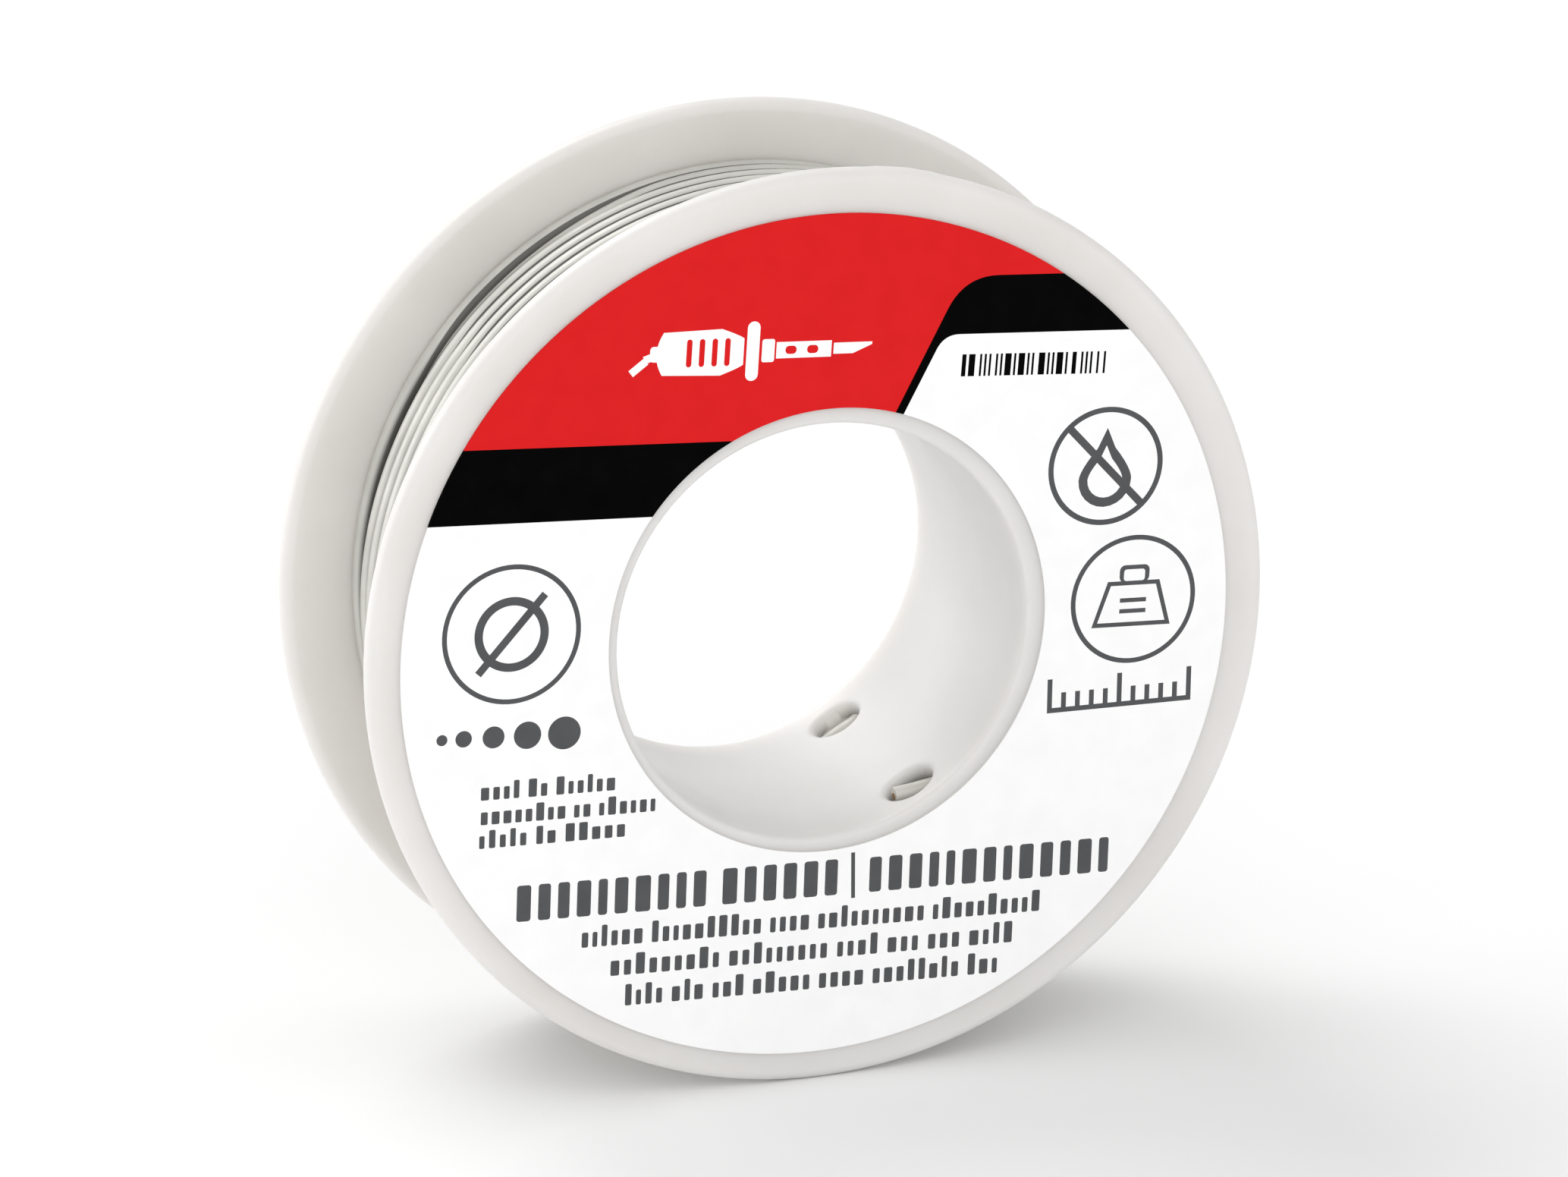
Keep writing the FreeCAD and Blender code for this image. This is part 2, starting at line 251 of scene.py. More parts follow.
def wire_route():
    """The start's tip, and the control points of the whole wire to its free end."""
    turns = winding_turns()
    changes = turn_changes(len(turns))
    tip, points = start_points()
    shows_from = 360 * (len(turns) - SLOTS - 2)
    last_bearing = FREE_END_BEARING + 360 * (len(turns) - 2)
    bearing = HOLE_BEARING + START_GAP
    while bearing < last_bearing - END_GAP:
        step = OUTER_STEP if bearing > shows_from else INNER_STEP
        radius, along = wire_place(bearing, turns, changes)
        # The spline cuts inside its control points, so they stand further out.
        points.append(ring_point(radius / math.cos(math.radians(step / 2)), bearing, along))
        bearing += step

    leave = ring_point(TOP_LAYER, last_bearing, FREE_END_ALONG)
    away = ring_point(1, last_bearing + 90, 0)
    points += [leave + away * distance * MM for distance in (-1.2, 1.5, 4.5, 8.0, 11.95)]
    return tip, points


def make_wire(solder):
    """The solder wire: one spline from the threading hole through every turn to its free end."""
    tip, points = wire_route()
    data = bpy.data.curves.new("solder_wire", "CURVE")
    data.dimensions = "3D"
    data.bevel_depth = WIRE / 2
    data.bevel_resolution = 5
    data.resolution_u = 3
    data.use_fill_caps = True
    spline = data.splines.new("NURBS")
    spline.points.add(len(points) - 1)
    for point, place in zip(spline.points, points):
        point.co = (*place, 1)
    spline.order_u = 3
    spline.use_endpoint_u = True
    wire = add_object("solder_wire", data)
    data.materials.append(solder)
    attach(wire, "root")
    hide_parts("wire_winding", "wire_start_tail", "wire_free_end")


# ---------------------------------------------------------------- materials

# Most of a noise's values lie in this range, which is spread over the tones or the roughness.
NOISE_RANGE = (0.3, 0.7)


def srgb(red, green, blue):
    """A colour given in 0 to 255 as Blender's own linear one."""
    def linear(value):
        value /= 255
        return value / 12.92 if value <= 0.04045 else ((value + 0.055) / 1.055) ** 2.4
    return (linear(red), linear(green), linear(blue), 1)


def new_material(name, roughness, **settings):
    """A material with one Principled shader, and that shader and its tree."""
    material = bpy.data.materials.new(name)
    material.use_nodes = True
    shader = material.node_tree.nodes["Principled BSDF"]
    shader.inputs["Roughness"].default_value = roughness
    for socket, value in settings.items():
        shader.inputs[socket.replace("_", " ")].default_value = value
    return material, shader, material.node_tree


def object_noise(tree, scale, detail):
    """Noise laid in the object's own space, its scale in cycles per metre."""
    place = tree.nodes.new("ShaderNodeTexCoord")
    noise = tree.nodes.new("ShaderNodeTexNoise")
    noise.inputs["Scale"].default_value = scale
    noise.inputs["Detail"].default_value = detail
    tree.links.new(place.outputs["Object"], noise.inputs["Vector"])
    return noise.outputs["Fac"]


def mottle(tree, scale, detail, dark, light):
    """A colour that wanders between two tones, each given in 0 to 255."""
    node = tree.nodes.new("ShaderNodeValToRGB")
    for stop, position, tone in zip(node.color_ramp.elements, NOISE_RANGE, (dark, light)):
        stop.position = position
        stop.color = srgb(*tone)
    tree.links.new(object_noise(tree, scale, detail), node.inputs["Fac"])
    return node.outputs["Color"]


def map_range(tree, value, source, target, interpolation="SMOOTHSTEP"):
    """A value carried from one range to another, and held at its ends."""
    node = tree.nodes.new("ShaderNodeMapRange")
    node.interpolation_type = interpolation
    for socket, number in zip(("From Min", "From Max", "To Min", "To Max"), source + target):
        node.inputs[socket].default_value = number
    tree.links.new(value, node.inputs["Value"])
    return node.outputs["Result"]


def vary_roughness(tree, shader, scale, detail, target):
    """Roughness that wanders over a range."""
    noise = object_noise(tree, scale, detail)
    tree.links.new(map_range(tree, noise, NOISE_RANGE, target, "LINEAR"), shader.inputs["Roughness"])


def grain(tree, shader, scale, detail, depth, strength):
    """A fine noise bump."""
    node = tree.nodes.new("ShaderNodeBump")
    node.inputs["Distance"].default_value = depth
    node.inputs["Strength"].default_value = strength
    tree.links.new(object_noise(tree, scale, detail), node.inputs["Height"])
    tree.links.new(node.outputs["Normal"], shader.inputs["Normal"])


def make_reel_plastic():
    """Off-white moulded plastic with faint flow clouding, satin where it left the mould."""
    material, shader, tree = new_material(
        "reel_plastic", 0.42, Subsurface_Weight=0.6, Subsurface_Scale=0.0022,
        Subsurface_Radius=(1.0, 0.93, 0.85), IOR=1.5,
    )
    cloud = mottle(tree, scale=90, detail=4, dark=(218, 216, 213), light=(226, 224, 222))
    tree.links.new(cloud, shader.inputs["Base Color"])
    vary_roughness(tree, shader, scale=400, detail=5, target=(0.36, 0.5))
    grain(tree, shader, scale=2500, detail=6, depth=0.02 * MM, strength=0.35)
    return material


def math_node(tree, operation, first, second):
    """A plain operation on two links."""
    node = tree.nodes.new("ShaderNodeMath")
    node.operation = operation
    tree.links.new(first, node.inputs[0])
    tree.links.new(second, node.inputs[1])
    return node.outputs["Value"]


def vector_node(tree, operation, output, first, second=None):
    """A vector operation on one link, and on a second link or a plain vector."""
    node = tree.nodes.new("ShaderNodeVectorMath")
    node.operation = operation
    tree.links.new(first, node.inputs[0])
    if isinstance(second, tuple):
        node.inputs[1].default_value = second
    elif second:
        tree.links.new(second, node.inputs[1])
    return node.outputs[output]


def crevice_shade(tree):
    """How much painted shade darkens the wire: 0 on the turns' crests, up to 1 in the valleys between
    turns and down on the next layer.

    It goes by how squarely the surface faces outwards, and by how far out it lies."""
    place = tree.nodes.new("ShaderNodeTexCoord")
    across = vector_node(tree, "MULTIPLY", "Vector", place.outputs["Object"], (1, 0, 1))
    outward = vector_node(tree, "NORMALIZE", "Vector", across)
    radius = vector_node(tree, "LENGTH", "Value", across)
    facing = vector_node(tree, "DOT_PRODUCT", "Value", outward, place.outputs["Normal"])
    valley = valley_shade(tree, place.outputs["Object"], facing)
    sunk = deep_layer_shade(tree, outward, radius, facing)
    # Painted shade of the valleys and of the deeper layers, kept to the outer layers.
    dark = math_node(tree, "MAXIMUM", valley, sunk)
    outer_layers = map_range(tree, radius, (HUB_RADIUS + 3 * MM, HUB_RADIUS + 5 * MM), (0, 1))
    dark = math_node(tree, "MULTIPLY", dark, outer_layers)
    return math_node(tree, "SUBTRACT", dark, free_end_mask(tree, place.outputs["Object"]))


def valley_shade(tree, place, facing):
    """The painted shade in the valleys between turns. It fades out lower down, from 16 mm to 11 mm
    above the bore's axis.
    """
    height = vector_node(tree, "DOT_PRODUCT", "Value", place, (0, 0, 1))
    low_fade = map_range(tree, height, (11 * MM, 16 * MM), (0.35, 0))
    # Painted shade: darker where the surface turns away from facing outwards.
    return map_range(tree, math_node(tree, "ADD", facing, low_fade), (0.67, 0.77), (0.85, 0))


def deep_layer_shade(tree, outward, radius, facing):
    """Painted shade on what lies deeper than the top layer, which stands off centre. A crest there is
    darkened less than its flanks."""
    lean = tuple(ring_point(OFF_CENTRE, OFF_CENTRE_BEARING, 0))
    shift = vector_node(tree, "DOT_PRODUCT", "Value", outward, lean)
    level = math_node(tree, "SUBTRACT", radius, shift)
    # Painted shade deepens as the wire lies further below the top layer.
    deep = map_range(tree, level, (WINDING_RADIUS - 0.5 * MM, WINDING_RADIUS - 0.2 * MM), (0.8, 0))
    flank = map_range(tree, facing, (0.93, 0.985), (1, 0.12))
    return math_node(tree, "MULTIPLY", deep, flank)


def free_end_mask(tree, place):
    """1 on the free end of the wire, past the point where it leaves the winding, and 0 elsewhere."""
    def beyond(direction, low, high):
        distance = vector_node(tree, "DOT_PRODUCT", "Value", place, tuple(direction))
        return map_range(tree, distance, (low, high), (0, 1))
    ahead = beyond(ring_point(1, FREE_END_BEARING + 90, 0), 2 * MM, 4 * MM)
    out = beyond(ring_point(1, FREE_END_BEARING, 0), TOP_LAYER - 0.8 * MM, TOP_LAYER - 0.6 * MM)
    back = beyond((0, 1, 0), FREE_END_ALONG - 0.8 * MM, FREE_END_ALONG - 0.6 * MM)
    return math_node(tree, "MULTIPLY", math_node(tree, "MULTIPLY", ahead, out), back)


def blend_colors(tree, factor, bottom, top):
    """The bottom colour, with the top one laid over it where the factor is 1."""
    node = tree.nodes.new("ShaderNodeMix")
    node.data_type = "RGBA"
    # The node has sockets of one name for each data type, so the colour ones go by number.
    tree.links.new(factor, node.inputs[0])
    tree.links.new(bottom, node.inputs[6])
    tree.links.new(top, node.inputs[7])
    return node.outputs[2]


def make_solder():
    """Drawn tin alloy, pale on its crests, and darkened by painted shade in the valleys between the
    turns and on the deeper layers, with some flux residue there."""
    material, shader, tree = new_material("solder_alloy", 0.5, Metallic=0.3, Specular_IOR_Level=0.35)
    bright = mottle(tree, scale=350, detail=4, dark=(206, 205, 199), light=(220, 219, 213))
    # The dark tone is painted shade for the valleys and the deeper layers, with some flux residue.
    dark = mottle(tree, scale=900, detail=3, dark=(44, 44, 41), light=(68, 67, 63))
    color = blend_colors(tree, crevice_shade(tree), bright, dark)
    tree.links.new(color, shader.inputs["Base Color"])
    vary_roughness(tree, shader, scale=900, detail=3, target=(0.42, 0.58))
    grain(tree, shader, scale=2500, detail=4, depth=0.01 * MM, strength=0.15)
    return material


def make_flux():
    """Amber rosin."""
    material, shader, tree = new_material(
        "rosin_flux", 0.25, Subsurface_Weight=0.3, Subsurface_Scale=0.0005,
    )
    amber = mottle(tree, scale=3000, detail=3, dark=(128, 100, 62), light=(160, 132, 92))
    tree.links.new(amber, shader.inputs["Base Color"])
    return material


def make_ink(name, dark, light, roughness):
    """Coated paper or the ink on it: a faint mottle of two close tones, and the paper's tooth."""
    material, shader, tree = new_material(name, roughness, Specular_IOR_Level=0.02)
    tree.links.new(mottle(tree, 700, 4, dark, light), shader.inputs["Base Color"])
    grain(tree, shader, scale=5000, detail=3, depth=0.01 * MM, strength=0.3)
    return material


# ---------------------------------------------------------------- the reel

# The hub's walls are grids of quads, with a square patch left open round each threading hole.
COLUMNS = 256
PATCH_COLUMNS = 16
PATCH_HALF = 2.2 * MM
# The rounding of the bore's two edges, and of each flange's rim.
BORE_EDGE = 0.25 * MM
RIM_ROUND = 0.6 * MM

# A threading hole on the bore's side and on the hub's, and its soft mouth.
HOLE_RADIUS, HOLE_FAR_RADIUS = 1.4 * MM, 1.3 * MM
MOUTH_ROUND = 0.35 * MM
MOUTH_STEPS = 6

# A little flash left on the front rim at the top, where the mould parted: its middle, half its
# spread in degrees, how far it stands out, and how far in from the rim it reaches.
FLASH_BEARING, FLASH_HALF = 79, 4.5
FLASH_HEIGHT = 0.10 * MM
FLASH_INSET = 0.4 * MM


def arc_profile(centre_radius, centre_along, size, start, end, steps):
    """A rounded corner of the reel's section, as (radius, y) pairs."""
    angles = [math.radians(mix(start, end, i / steps)) for i in range(steps + 1)]
    return [(centre_radius + size * math.cos(a), centre_along + size * math.sin(a)) for a in angles]


def flange_profile(side):
    """The section of one flange, from the bore's edge over the face and rim to the hub.

    side is -1 at the labelled front and 1 at the back."""
    edge, rim = BORE_EDGE, RIM_ROUND
    outer, inner = side * FACE, side * HALF_GAP
    bore_corner = arc_profile(BORE_RADIUS + edge, outer - side * edge, edge, 180, 180 - side * 90, 5)
    outer_face = [(mix(BORE_RADIUS, RIM_RADIUS, share), outer) for share in (0.15, 0.35, 0.6, 0.85)]
    outer_corner = arc_profile(RIM_RADIUS - rim, outer - side * rim, rim, side * 90, 0, 8)
    inner_corner = arc_profile(RIM_RADIUS - rim, inner + side * rim, rim, 0, -side * 90, 8)
    inner_face = [(mix(RIM_RADIUS, HUB_RADIUS, share), inner) for share in (0.15, 0.4, 0.7, 1.0)]
    return bore_corner + outer_face + outer_corner + inner_corner + inner_face


def flash(radius, bearing, along):
    """How far the flash stands out at a point of the reel."""
    share = max(0.0, 1 - abs((bearing % 360 - FLASH_BEARING) / FLASH_HALF))
    if radius < RIM_RADIUS - FLASH_INSET or along > 0 or not share:
        return 0.0
    ripple = 0.75 + 0.25 * math.sin(math.radians(bearing * 97))
    return FLASH_HEIGHT * ease(share * 2.5) * ripple


def lathe_ring(mesh, radius, along):
    """One ring of vertices round the bore, the first at the threading holes' bearing."""
    ring = []
    for column in range(COLUMNS):
        bearing = HOLE_BEARING + 360 * column / COLUMNS
        place = ring_point(radius + flash(radius, bearing, along), bearing, along)
        ring.append(mesh.verts.new(place))
    return ring


def join_rings(mesh, ring, next_ring, skip=()):
    """Quads between two rings of as many vertices, without those columns."""
    count = len(ring)
    for i in range(count):
        if i not in skip:
            j = (i + 1) % count
            mesh.faces.new((ring[i], ring[j], next_ring[j], next_ring[i]))


def hub_wall(mesh, radius, stretches):
    """One side of the hub's wall, from stretches of (first y, last y, cells), front first.

    A stretch as many cells long as a patch is wide has a square gap in it for a threading hole.
    Returns the wall's rings and the loop of vertices round each gap."""
    gap = [(-PATCH_COLUMNS // 2 + i) % COLUMNS for i in range(PATCH_COLUMNS)]
    rows = []
    for begin, end, cells in stretches:
        rows += [mix(begin, end, i / cells) for i in range(cells)]
    rows.append(stretches[-1][1])
    rings = [lathe_ring(mesh, radius, along) for along in rows]
    row = 0
    loops = []
    for _, _, cells in stretches:
        is_gap = cells == PATCH_COLUMNS
        for i in range(row, row + cells):
            join_rings(mesh, rings[i], rings[i + 1], gap if is_gap else ())
        if is_gap:
            loops.append(gap_loop(rings[row:row + cells + 1], gap + [(gap[-1] + 1) % COLUMNS]))
        row += cells
    return rings, loops


def gap_loop(rings, columns):
    """The vertices round a square gap, from its first row's first column and on round."""
    first, last = rings[0], rings[-1]
    loop = [first[c] for c in columns[:-1]]
    loop += [ring[columns[-1]] for ring in rings[:-1]]
    loop += [last[c] for c in reversed(columns[1:])]
    loop += [ring[columns[0]] for ring in reversed(rings[1:])]
    return loop


def hole_ring(mesh, loop, size, depth, offset):
    """A circle of vertices round a threading hole, each in line with one of the loop's."""
    outward = ring_point(1, HOLE_BEARING, 0)
    ahead = ring_point(1, HOLE_BEARING + 90, 0)
    ring = []
    for vertex in loop:
        angle = math.atan2(vertex.co.y - offset, vertex.co.dot(ahead))
        across = size * math.cos(angle)
        height = math.sqrt((BORE_RADIUS + depth) ** 2 - across ** 2)
        along = offset + size * math.sin(angle)
        ring.append(mesh.verts.new(outward * height + ahead * across + Vector((0, along, 0))))
    return ring


def blend_ring(mesh, loop, ring, share, radius):
    """A ring part of the way from a square loop to a circle, kept on the wall's surface."""
    result = []
    for a, b in zip(loop, ring):
        place = a.co.lerp(b.co, share)
        scale = radius / math.hypot(place.x, place.z)
        result.append(mesh.verts.new(Vector((place.x * scale, place.y, place.z * scale))))
    return result


def threading_hole(mesh, inner_loop, outer_loop, offset):
    """A hole through the hub's wall with a soft mouth on the bore's side."""
    soft = MOUTH_ROUND
    mouth = hole_ring(mesh, inner_loop, HOLE_RADIUS + soft, 0, offset)
    rings = [inner_loop]
    rings += [blend_ring(mesh, inner_loop, mouth, share, BORE_RADIUS) for share in (0.4, 0.75)]
    rings.append(mouth)
    for i in range(1, MOUTH_STEPS + 1):
        angle = math.radians(90 * i / MOUTH_STEPS)
        size = HOLE_RADIUS + soft - soft * math.sin(angle)
        rings.append(hole_ring(mesh, inner_loop, size, soft * (1 - math.cos(angle)), offset))
    rings.append(hole_ring(mesh, inner_loop, HOLE_FAR_RADIUS, HUB_WALL, offset))
    rings.append(blend_ring(mesh, outer_loop, rings[-1], 0.5, HUB_RADIUS))
    rings.append(outer_loop)
    for ring, next_ring in zip(rings, rings[1:]):
        join_rings(mesh, ring, next_ring)


def make_flange(mesh, side, bore_ring, hub_ring):
    """One flange, from the last ring of the bore's wall round its rim to the hub's."""
    ring = bore_ring
    for radius, along in flange_profile(side)[1:-1]:
        next_ring = lathe_ring(mesh, radius, along)
        join_rings(mesh, ring, next_ring)
        ring = next_ring
    join_rings(mesh, ring, hub_ring)


def make_reel(plastic):
    """The moulded reel as one closed surface, with its two threading holes."""
    mesh = bmesh.new()
    gap_low, gap_high = HOLE_OFFSET - PATCH_HALF, HOLE_OFFSET + PATCH_HALF
    bore_end = FACE - BORE_EDGE
    bore_rings, bore_loops = hub_wall(mesh, BORE_RADIUS, [
        (-bore_end, -gap_high, 1),
        (-gap_high, -gap_low, PATCH_COLUMNS),
        (-gap_low, gap_low, 10),
        (gap_low, gap_high, PATCH_COLUMNS),
        (gap_high, bore_end, 1),
    ])
    hub_rings, hub_loops = hub_wall(mesh, HUB_RADIUS, [
        (-HALF_GAP, -gap_low, PATCH_COLUMNS),
        (-gap_low, gap_low, 6),
        (gap_low, HALF_GAP, PATCH_COLUMNS),
    ])
    for loop, hub_loop, side in zip(bore_loops, hub_loops, (-1, 1)):
        threading_hole(mesh, loop, hub_loop, side * HOLE_OFFSET)
    make_flange(mesh, -1, bore_rings[0], hub_rings[0])
    make_flange(mesh, 1, bore_rings[-1], hub_rings[-1])
    delete_loose(mesh)
    bmesh.ops.recalc_face_normals(mesh, faces=mesh.faces)
    reel = add_mesh("moulded_reel", mesh, [plastic])
    reel.data.shade_smooth()
    reel.modifiers.new("even_normals", "WEIGHTED_NORMAL").keep_sharp = True
    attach(reel, "root")
    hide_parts("spool_body")


# ---------------------------------------------------------------- the label

# The artwork is laid out in millimetres in the label's plane, x to the right and z up from the
# bore's centre. Each shape is (ink, outline), and a later shape prints over an earlier one.
PAPER, RED, BLACK, GREY = range(4)

# The label's two round edges, as centre x, centre z and radius: it was stuck on a little askew.
OUTER_RIM = (-0.26, -0.27, 23.05)
INNER_RIM = (0.26, 0.07, 12.2)
# A colour field that runs off the label's edge ends out here, and the edge cuts it.
OFF_LABEL = 30
# Points of the artwork nearer to each other than this are one.
SAME_POINT = 1e-5


def disc(x, z, radius, steps=72):
    """A round outline."""
    angles = [2 * math.pi * i / steps for i in range(steps)]
    return [(x + radius * math.cos(a), z + radius * math.sin(a)) for a in angles]


def hoop(radius, stroke):
    """A grey circle about (0, 0), with paper inside it."""
    return [(GREY, disc(0, 0, radius + stroke / 2)), (PAPER, disc(0, 0, radius - stroke / 2))]


def span(start, end):
    """The length of a line from start to end, and its slope in degrees."""
    (x0, z0), (x1, z1) = start, end
    return math.hypot(x1 - x0, z1 - z0), math.degrees(math.atan2(z1 - z0, x1 - x0))


def bar(ink, start, end, stroke):
    """A straight stroke with square ends."""
    (x0, z0), (x1, z1) = start, end
    long, _ = span(start, end)
    side_x, side_z = (z0 - z1) * stroke / long / 2, (x1 - x0) * stroke / long / 2
    return (ink, [
        (x0 + side_x, z0 + side_z), (x0 - side_x, z0 - side_z),
        (x1 - side_x, z1 - side_z), (x1 + side_x, z1 + side_z),
    ])


def turned(shapes, origin, degrees):
    """Shapes drawn level about (0, 0), turned and set at their place on the label."""
    cos, sin = math.cos(math.radians(degrees)), math.sin(math.radians(degrees))
    return [
        (ink, [(origin[0] + x * cos - z * sin, origin[1] + x * sin + z * cos) for x, z in outline])
        for ink, outline in shapes
    ]


def rounded_box(x0, z0, x1, z1, corner, steps=4):
    """A box with rounded corners."""
    outline = []
    for x, z, start in (
        (x1 - corner, z1 - corner, 0), (x0 + corner, z1 - corner, 90),
        (x0 + corner, z0 + corner, 180), (x1 - corner, z0 + corner, 270),
    ):
        for i in range(steps + 1):
            angle = math.radians(start + 90 * i / steps)
            outline.append((x + corner * math.cos(angle), z + corner * math.sin(angle)))
    return outline


def bend(start, corner, end, steps=10):
    """A smooth corner between two straight edges."""
    points = []
    for i in range(steps + 1):
        t = i / steps
        weights = ((1 - t) ** 2, 2 * t * (1 - t), t * t)
        points.append(tuple(
            sum(w * p[axis] for w, p in zip(weights, (start, corner, end))) for axis in (0, 1)
        ))
    return points


def colour_fields():
    """The red field, which runs on under the black band at its lower left, and the black stripe
    that steps down at the right, with the paper below it."""
    off = OFF_LABEL
    red = [(-off, 12.3), (0, 10.3), (off, 10.3), (off, off), (-off, off)]
    band = [(-off, 12.76), (-3, 10.92), (-3, 7.02), (-off, 8.64)]
    stripe = bend((9.73, 18.59), (7.79, 18.73), (6.86, 17.02))
    stripe += [(3.0, 9.89), (off, 9.89), (off, 17.14)]
    below = bend((7.54, 15.59), (6.67, 15.65), (6.25, 14.89))
    below += [(3.0, 8.95), (off, 8.95), (off, 13.96)]
    return [(RED, red), (BLACK, band), (BLACK, stripe), (PAPER, below)]


def word_blocks(ink, start, end, height, words, tall_share=0.3):
    """A line of print too small to read: upright blocks in words, no letter among them."""
    draw = random.Random(round(1000 * height + 10 * start[1]))
    letter_gap, word_gap = 0.22, 0.5
    blocks = []
    place = 0.0
    for letters in words:
        for _ in range(letters):
            wide = draw.uniform(0.26, 0.46)
            tall = 1.0 if draw.random() < tall_share else 0.7
            blocks.append((place, wide, tall))
            place += wide + letter_gap
        place += word_gap - letter_gap
    long, slope = span(start, end)
    scale = long / (place - word_gap)
    shapes = []
    for x, wide, tall in blocks:
        box = rounded_box(x * scale, 0, (x + wide) * scale, tall * height, 0.07 * height, 2)
        shapes.append((ink, box))
    return turned(shapes, start, slope)


def bar_code(ink, start, end, height):
    """A row of upright bars of uneven width."""
    draw = random.Random(7)
    long, slope = span(start, end)
    shapes = []
    place = 0.0
    while place < long - 0.5:
        wide = draw.choice((0.12, 0.12, 0.24, 0.36))
        shapes.append((ink, [(place, 0), (place + wide, 0), (place + wide, height), (place, height)]))
        place += wide + draw.choice((0.14, 0.14, 0.26))
    return turned(shapes, start, slope)


def gauge_dots(ink, start, end, count):
    """A row of dots that grow, as a scale of wire thickness."""
    (x0, z0), (x1, z1) = start, end
    shapes = []
    for i in range(count):
        share = i / (count - 1)
        place = share ** 1.25
        size = mix(0.3, 0.9, share)
        shapes.append((ink, disc(mix(x0, x1, place), mix(z0, z1, place), size, 40)))
    return shapes


def scale_ticks(ink, start, end, height, count):
    """A graduated scale: a base line with a tall tick at every fifth step."""
    stroke = 0.28
    long, slope = span(start, end)
    shapes = [bar(ink, (-stroke / 2, 0), (long + stroke / 2, 0), stroke)]
    for i in range(count):
        x = long * i / (count - 1)
        tall = height if i % 5 == 0 else height * 0.55
        shapes.append(bar(ink, (x, -stroke / 2), (x, tall), stroke))
    return turned(shapes, start, slope)


def iron_picture():
    """A plain soldering iron in white on the red field, with its lead and a hot tip."""
    lead = [bar(PAPER, (-6.9, -1.0), (-6.1, -0.35), 0.42), bar(PAPER, (-6.2, -0.3), (-5.4, 0), 0.42)]
    handle = bend((-5.2, 1.15), (-5.9, 0), (-5.2, -1.15))
    handle += bend((-2.0, -1.25), (-0.9, -0.85), (-0.75, -0.7))
    handle += bend((-0.75, 0.7), (-0.9, 0.85), (-2.0, 1.25))
    white = [
        rounded_box(-5.9, -0.42, -4.9, 0.42, 0.2),
        handle,
        rounded_box(-0.6, -1.6, 0.1, 1.6, 0.34),
        rounded_box(0.25, -0.62, 0.95, 0.62, 0.12),
        [(1.05, -0.44), (4.1, -0.44), (4.1, 0.44), (1.05, 0.44)],
        [(4.22, -0.3), (5.3, -0.3), (6.35, 0.16), (6.35, 0.3), (4.22, 0.3)],
    ]
    grooves = [rounded_box(x, -0.75, x + 0.3, 0.75, 0.15) for x in (-3.9, -3.2, -2.5, -1.8)]
    slots = [rounded_box(x, -0.22, x + 0.62, 0.22, 0.2) for x in (1.55, 2.75)]
    shapes = lead + [(PAPER, outline) for outline in white]
    return shapes + [(RED, outline) for outline in grooves + slots]


def crossed_drop_icon():
    """A ring with a drop in it, struck through."""
    def drop(size, low):
        belly = [math.radians(angle) for angle in range(-15, -170, -15)]
        outline = [(0, 2.1)] + bend((0.5, 1.0), (1.5, -0.2), (1.5, -0.75), 6)
        outline += [(1.5 * math.cos(a), -0.75 + 1.5 * math.sin(a)) for a in belly]
        outline += bend((-1.5, -0.75), (-1.5, -0.2), (-0.5, 1.0), 6)
        return [(x * size, z * size + low) for x, z in outline]
    strike = bar(GREY, (-2.2, 2.2), (2.2, -2.2), 0.42)
    return hoop(3.1, 0.3) + [(GREY, drop(1, 0)), (PAPER, drop(0.66, -0.25)), strike]


def weight_icon():
    """A ring with a balance weight in it."""
    outer = [(-2.3, -1.5), (2.2, -1.5), (1.45, 1.02), (-1.5, 1.02)]
    inner = [(-1.98, -1.26), (1.88, -1.26), (1.26, 0.78), (-1.31, 0.78)]
    handle = rounded_box(-0.85, 0.95, 0.85, 1.9, 0.3)
    under = rounded_box(-0.6, 1.02, 0.6, 1.66, 0.15)
    mark = [bar(GREY, (-0.75, z), (0.75, z), 0.24) for z in (-0.65, -0.05)]
    body = [(GREY, handle), (PAPER, under), (GREY, outer), (PAPER, inner)]
    return hoop(3.42, 0.27) + body + mark


def gauge_icon():
    """A ring with the diameter sign in it."""
    strike = bar(GREY, (-1.75, -2.1), (1.75, 2.1), 0.42)
    return hoop(3.66, 0.27) + hoop(1.8, 0.46) + [strike]


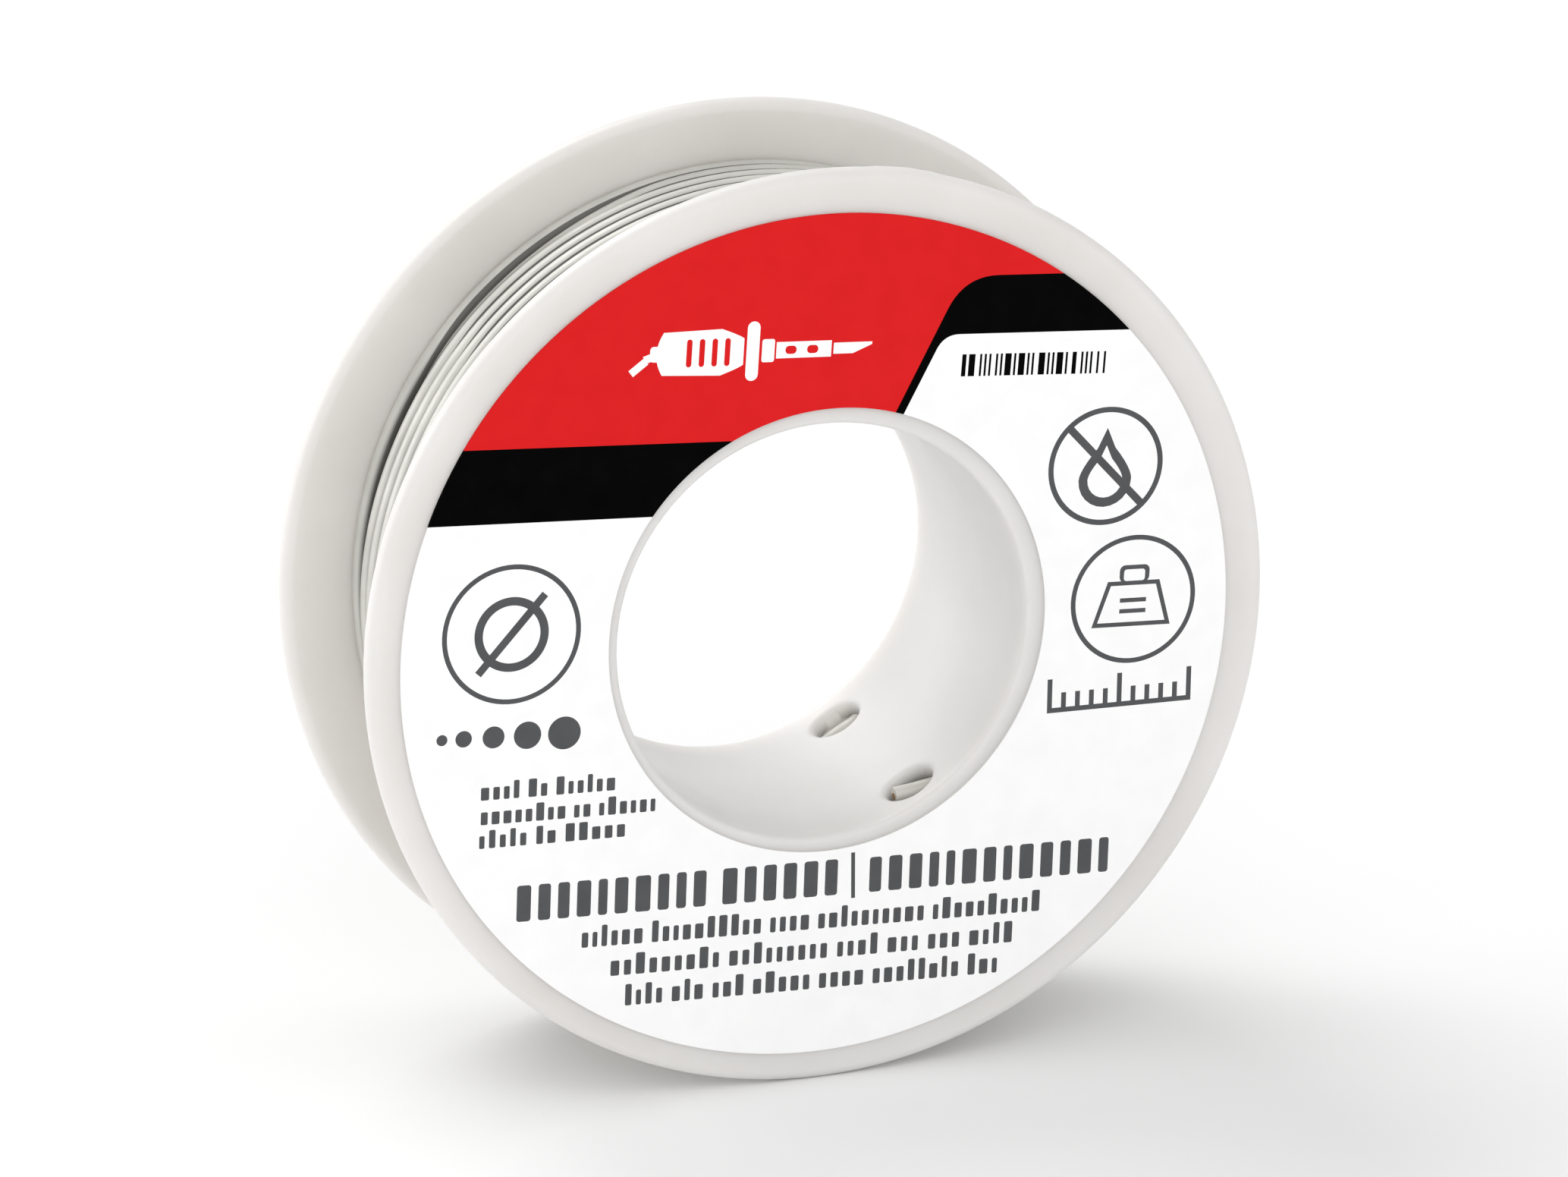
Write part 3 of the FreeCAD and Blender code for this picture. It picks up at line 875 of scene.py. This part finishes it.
def artwork():
    """Everything printed on the label, lowest first."""
    shapes = colour_fields()
    shapes += turned(iron_picture(), (-3.7, 15.8), -3.7)
    shapes += turned(crossed_drop_icon(), (15.82, 7.52), -3)
    shapes += turned(weight_icon(), (17.47, -0.03), -3)
    shapes += turned(gauge_icon(), (-17.24, 1.86), -3)
    shapes += bar_code(BLACK, (7.60, 13.28), (16.32, 12.60), 1.2)
    shapes += gauge_dots(GREY, (-21.1, -3.5), (-14.4, -3.85), 5)
    shapes += scale_ticks(GREY, (12.75, -5.75), (20.7, -5.90), 1.75, 11)
    for start, end, height, words in (
        ((-19.02, -7.05), (-11.64, -7.33), 1.0, (4, 2, 6)),
        ((-19.04, -8.40), (-9.42, -8.75), 1.0, (8, 2, 6)),
        ((-19.14, -9.70), (-11.11, -9.96), 1.0, (5, 2, 5)),
        ((-13.55, -15.87), (12.26, -16.96), 1.2, (6, 10, 4, 10, 10)),
        ((-11.96, -17.64), (10.70, -18.54), 1.2, (9, 9, 4, 3, 3, 4)),
        ((-11.16, -19.40), (9.85, -20.16), 1.2, (4, 3, 3, 5, 4, 8, 3)),
    ):
        shapes += word_blocks(GREY, start, end, height, words)
    shapes += word_blocks(GREY, (-17.14, -13.99), (0.75, -14.65), 2.0, (10, 6), 1)
    shapes += word_blocks(GREY, (2.55, -14.72), (16.17, -15.20), 1.95, (13,), 1)
    shapes.append(bar(GREY, (1.66, -12.38), (1.66, -14.94), 0.22))
    return shapes


def holds(outline, x, z):
    """True if the outline goes round the point."""
    inside = False
    x0, z0 = outline[-1]
    for x1, z1 in outline:
        if (z0 > z) != (z1 > z) and x < (x1 - x0) * (z - z0) / (z1 - z0) + x0:
            inside = not inside
        x0, z0 = x1, z1
    return inside


def boxed(shapes):
    """The shapes with the box round each, the topmost first."""
    result = []
    for ink, outline in reversed(shapes):
        xs, zs = zip(*outline)
        result.append((ink, outline, (min(xs), min(zs), max(xs), max(zs))))
    return result


def ink_at(boxed_shapes, x, z):
    """The ink of the topmost shape at a point."""
    for ink, outline, (x_low, z_low, x_high, z_high) in boxed_shapes:
        if x_low <= x <= x_high and z_low <= z <= z_high and holds(outline, x, z):
            return ink
    return PAPER


def within(rim, x, z):
    """True if the point is inside one of the label's round edges."""
    return math.hypot(x - rim[0], z - rim[1]) < rim[2]


def cut_face(mesh, shapes):
    """The label's face, cut along every printed outline, each piece in the ink printed there."""
    outlines = [disc(*OUTER_RIM, 256), disc(*INNER_RIM, 192)] + [outline for _, outline in shapes]
    places, edges = [], []
    for outline in outlines:
        first = len(places)
        places += [Vector(point) for point in outline]
        edges += [(first + i, first + (i + 1) % len(outline)) for i in range(len(outline))]
    points, _, faces, *_ = delaunay_2d_cdt(places, edges, [], 0, SAME_POINT, False)
    boxed_shapes = boxed(shapes)
    verts = [mesh.verts.new((x * MM, LABEL_FACE, z * MM)) for x, z in points]
    for face in faces:
        x, z = (sum(points[i][axis] for i in face) / len(face) for axis in (0, 1))
        if within(OUTER_RIM, x, z) and not within(INNER_RIM, x, z):
            ink = ink_at(boxed_shapes, x, z)
            mesh.faces.new([verts[i] for i in face]).material_index = ink
    delete_loose(mesh)


def thicken(mesh):
    """Give the label its paper's thickness: edges down to the flange, and a back."""
    rim = [edge for edge in mesh.edges if edge.is_boundary]
    inks = [edge.link_faces[0].material_index for edge in rim]
    skirt = bmesh.ops.extrude_edge_only(mesh, edges=rim)["geom"]
    for edge, ink in zip(rim, inks):
        for face in edge.link_faces:
            face.material_index = ink
    for item in skirt:
        if isinstance(item, bmesh.types.BMVert):
            item.co.y = -FACE
    lower = [item for item in skirt if isinstance(item, bmesh.types.BMEdge) and item.is_boundary]
    for face in bmesh.ops.bridge_loops(mesh, edges=lower)["faces"]:
        face.material_index = PAPER


def make_label(inks):
    """The printed ring label, with a material for each ink."""
    mesh = bmesh.new()
    cut_face(mesh, artwork())
    thicken(mesh)
    bmesh.ops.recalc_face_normals(mesh, faces=mesh.faces)
    label = add_mesh("printed_label", mesh, inks)
    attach(label, "root")
    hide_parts("front_label")


# ---------------------------------------------------------------- studio

# Each lamp's place, the side of its square and its watts.
LAMPS = {
    "front_lamp": ((-0.40, -1.1, 0.42), 0.6, 1.4),
    "right_lamp": ((0.25, -1.2, 0.9), 1.6, 5.0),
    "left_lamp": ((-0.6, -0.75, 1.05), 0.8, 1.2),
    "back_lamp": ((-0.3, 0.9, 0.95), 0.8, 6.8),
    "bore_lamp": ((-0.95, 0.65, 0.3), 0.8, 4.4),
}
WORLD_STRENGTH = 0.62
HALF_FLOOR = 3


def make_floor():
    """A plain pale floor under the rims."""
    mesh = bmesh.new()
    bmesh.ops.create_grid(mesh, x_segments=2, y_segments=2, size=HALF_FLOOR)
    material, shader, tree = new_material("floor_white", 0.9)
    white = mottle(tree, scale=3, detail=3, dark=(247, 247, 247), light=(250, 250, 250))
    tree.links.new(white, shader.inputs["Base Color"])
    floor = add_mesh("floor", mesh, [material])
    floor.location.z = SPOOL_LOW.z


def make_light(name, place, size, watts):
    """A soft square lamp that faces the reel."""
    data = bpy.data.lights.new(name, "AREA")
    data.size = size
    data.energy = watts
    lamp = add_object(name, data)
    lamp.location = place
    face_along(lamp, -Vector(place))


def make_studio():
    """Soft lamps all round and a pale world."""
    for name, (place, size, watts) in LAMPS.items():
        make_light(name, place, size, watts)
    world = bpy.data.worlds.new("studio")
    world.use_nodes = True
    background = world.node_tree.nodes["Background"]
    background.inputs["Color"].default_value = (1, 1, 1, 1)
    background.inputs["Strength"].default_value = WORLD_STRENGTH
    bpy.context.scene.world = world
    bpy.context.scene.view_settings.view_transform = "Standard"


# ---------------------------------------------------------------- the whole object

make_wire(make_solder())
make_reel(make_reel_plastic())
make_label([
    make_ink("label_paper", (250, 250, 250), (254, 254, 254), 0.5),
    make_ink("label_red", (218, 33, 35), (222, 36, 38), 0.4),
    make_ink("label_black", (2, 2, 2), (5, 5, 5), 0.4),
    make_ink("label_grey", (84, 85, 87), (90, 91, 93), 0.45),
])
flux = make_flux()
for name in FLUX_CORES:
    core = bpy.data.objects[name].data
    core.materials.clear()
    core.materials.append(flux)
make_floor()
make_studio()
